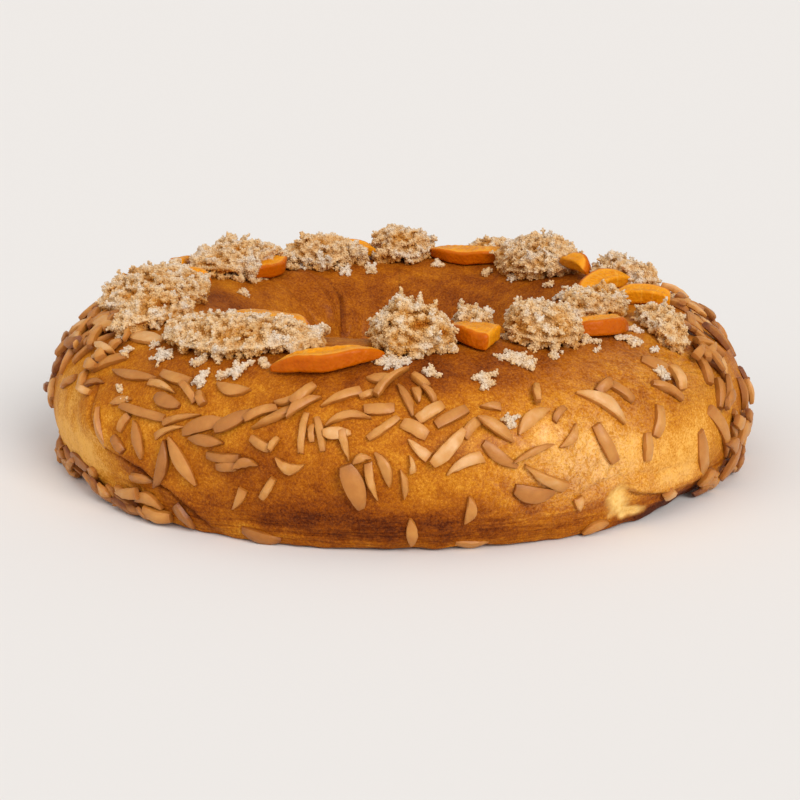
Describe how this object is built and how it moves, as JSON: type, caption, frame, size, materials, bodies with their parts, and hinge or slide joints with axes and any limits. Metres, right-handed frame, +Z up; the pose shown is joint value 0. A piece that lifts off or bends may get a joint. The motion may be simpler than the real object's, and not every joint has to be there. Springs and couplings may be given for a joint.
{
  "type": "roscon de reyes",
  "caption": "Ring-shaped sweet Epiphany bread with a browned, glazed crust, topped with candied orange slices, clumps of damp sugar and slivered almonds.",
  "frame": {"origin": "on the ring's axis, level with its flat underside", "axes": "+Z up along the ring's axis, -Y towards the front, +X to the right seen from the front"},
  "size_m": [0.3416, 0.3421, 0.101],
  "materials": {
    "crust": "browned egg-glazed crust, light gloss",
    "candied_orange": "sticky candied rind and flesh",
    "damp_sugar": "coarse damp sugar grains"
  },
  "bodies": {
    "root": {"bread": "crust", "orange_front_left": "candied_orange", "orange_front_centre": "candied_orange", "orange_front_right": "candied_orange", "orange_left_inner": "candied_orange", "orange_left_small": "candied_orange", "orange_left_far": "candied_orange", "orange_back_left": "candied_orange", "orange_back": "candied_orange", "orange_back_long": "candied_orange", "orange_back_right": "candied_orange", "orange_right_arc": "candied_orange", "orange_right_flesh": "candied_orange", "sugar_front": "damp_sugar", "sugar_front_small": "damp_sugar", "sugar_front_right": "damp_sugar", "sugar_front_left": "damp_sugar", "sugar_left_near": "damp_sugar", "sugar_left": "damp_sugar", "sugar_left_far": "damp_sugar", "sugar_back_left": "damp_sugar", "sugar_back": "damp_sugar", "sugar_back_low": "damp_sugar", "sugar_back_right": "damp_sugar", "sugar_right_far": "damp_sugar", "sugar_right_near": "damp_sugar", "sugar_right_flank": "damp_sugar"}
  },
  "joints": []
}
